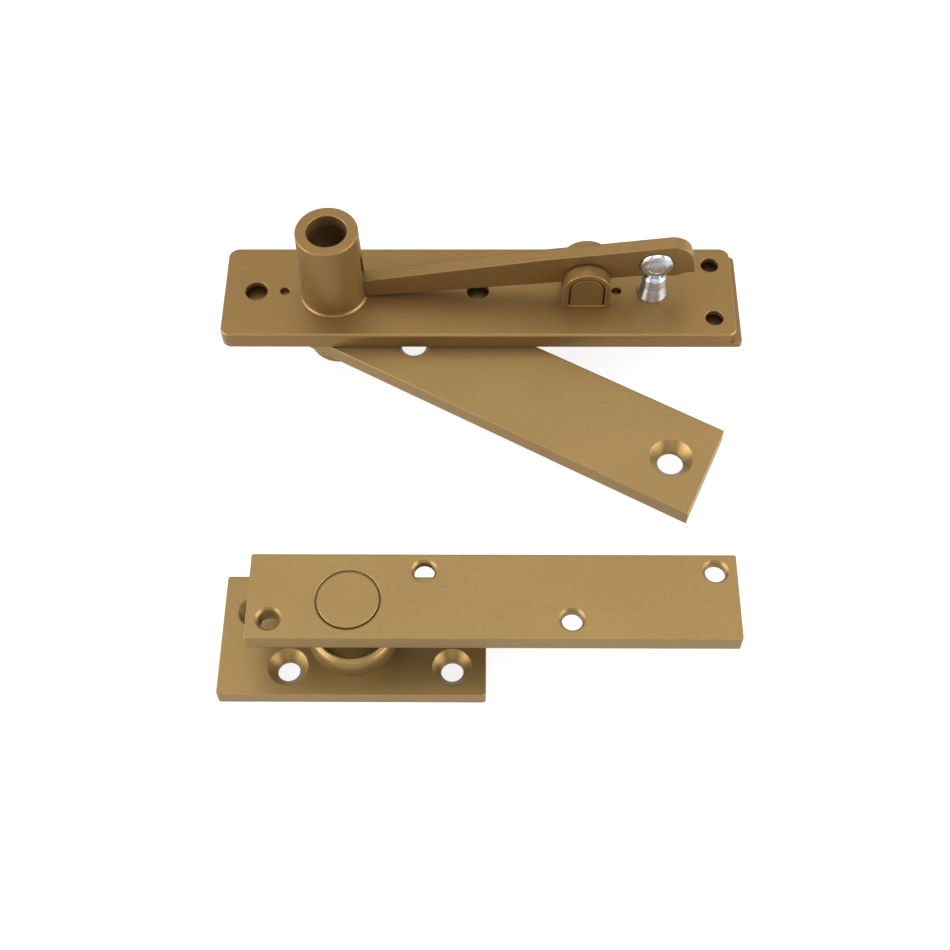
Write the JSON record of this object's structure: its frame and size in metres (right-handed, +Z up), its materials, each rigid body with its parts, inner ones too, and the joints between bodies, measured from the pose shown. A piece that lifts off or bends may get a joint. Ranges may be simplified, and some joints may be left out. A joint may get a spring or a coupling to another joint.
{
  "type": "centre-hung door pivot set",
  "caption": "Centre-hung door pivot set: a top pivot with a retractable pin on a walking beam, and a floor pivot whose strap turns on a thrust bearing.",
  "frame": {"origin": "the floor pivot's axis at the underside of the floor plate, where the set is screwed to the floor", "axes": "+Z up along both pivot axes, +X along the strap and the frame plate from their pivot ends, +Y from the floor pivot towards the top pivot"},
  "size_m": [0.1464, 0.1321, 0.0479],
  "materials": {
    "satin_bronze_dark": "satin bronze, slightly browner, fine matt grain",
    "satin_bronze_light": "satin bronze, slightly more golden, fine matt grain",
    "polished_steel": "bright turned steel",
    "bearing_brass": "plain turned brass"
  },
  "bodies": {
    "mounting_plates": {"frame_plate": "satin_bronze_dark", "pin_housing": "satin_bronze_dark", "cover_plate": "satin_bronze_dark", "cover_screws": "satin_bronze_dark", "fulcrum_ears": "satin_bronze_dark", "fulcrum_blocks": "satin_bronze_dark", "fulcrum_pin": "polished_steel", "floor_plate": "satin_bronze_light", "bearing_cup": "satin_bronze_light", "spindle": "polished_steel", "lower_race": "polished_steel"},
    "pin_set": {"pivot_pin": "polished_steel", "drive_pin": "polished_steel"},
    "beam": {"walking_beam": "satin_bronze_dark"},
    "trunnion_set": {"trunnion": "polished_steel", "trunnion_cap": "polished_steel", "keeper_pin": "polished_steel"},
    "screw": {"lift_screw": "polished_steel"},
    "door_arm": {"door_plate": "satin_bronze_light", "door_hub": "satin_bronze_light", "hub_bush": "bearing_brass", "hub_plug": "satin_bronze_light"},
    "ball_set": {"bearing_balls": "polished_steel", "ball_cage": "bearing_brass"},
    "strap_arm": {"upper_race": "polished_steel", "dust_shield": "satin_bronze_light", "strap": "satin_bronze_light", "strap_stud": "satin_bronze_light"}
  },
  "joints": [
    {"name": "screw_turn", "type": "hinge", "parent": "trunnion_set", "child": "screw", "pos_m": [0.081, 0.0992, 0.0224], "axis": [0, 0, 1], "range_deg": [0, 756]},
    {"name": "trunnion_slide", "type": "slide", "parent": "mounting_plates", "child": "trunnion_set", "axis": [0, 0, -1], "range_m": [0, 0.00263]},
    {"name": "beam_rock", "type": "hinge", "parent": "mounting_plates", "child": "beam", "pos_m": [0.06205, 0.0992, 0.03], "axis": [0, 1, 0], "range_deg": [0, 7.93]},
    {"name": "pin_slide", "type": "slide", "parent": "mounting_plates", "child": "pin_set", "axis": [0, 0, 1], "range_m": [0, 0.00987]},
    {"name": "door_swing", "type": "hinge", "parent": "mounting_plates", "child": "door_arm", "pos_m": [-0.0092, 0.0992, 0.014], "axis": [0, 0, 1], "range_deg": [-41, 139]},
    {"name": "strap_swing", "type": "hinge", "parent": "mounting_plates", "child": "strap_arm", "pos_m": [0, 0, 0.012], "axis": [0, 0, 1], "range_deg": [-110, 45]},
    {"name": "ball_roll", "type": "hinge", "parent": "mounting_plates", "child": "ball_set", "pos_m": [0, 0, 0.00715], "axis": [0, 0, 1], "range_deg": [-55, 22.5]}
  ],
  "couplings": [
    {"joint": "screw_turn", "follows": "pin_slide", "rad_per_m": 1336.7},
    {"joint": "trunnion_slide", "follows": "pin_slide", "ratio": 0.26592},
    {"joint": "beam_rock", "follows": "pin_slide", "rad_per_m": 14.013},
    {"joint": "ball_roll", "follows": "strap_swing", "ratio": 0.5}
  ]
}
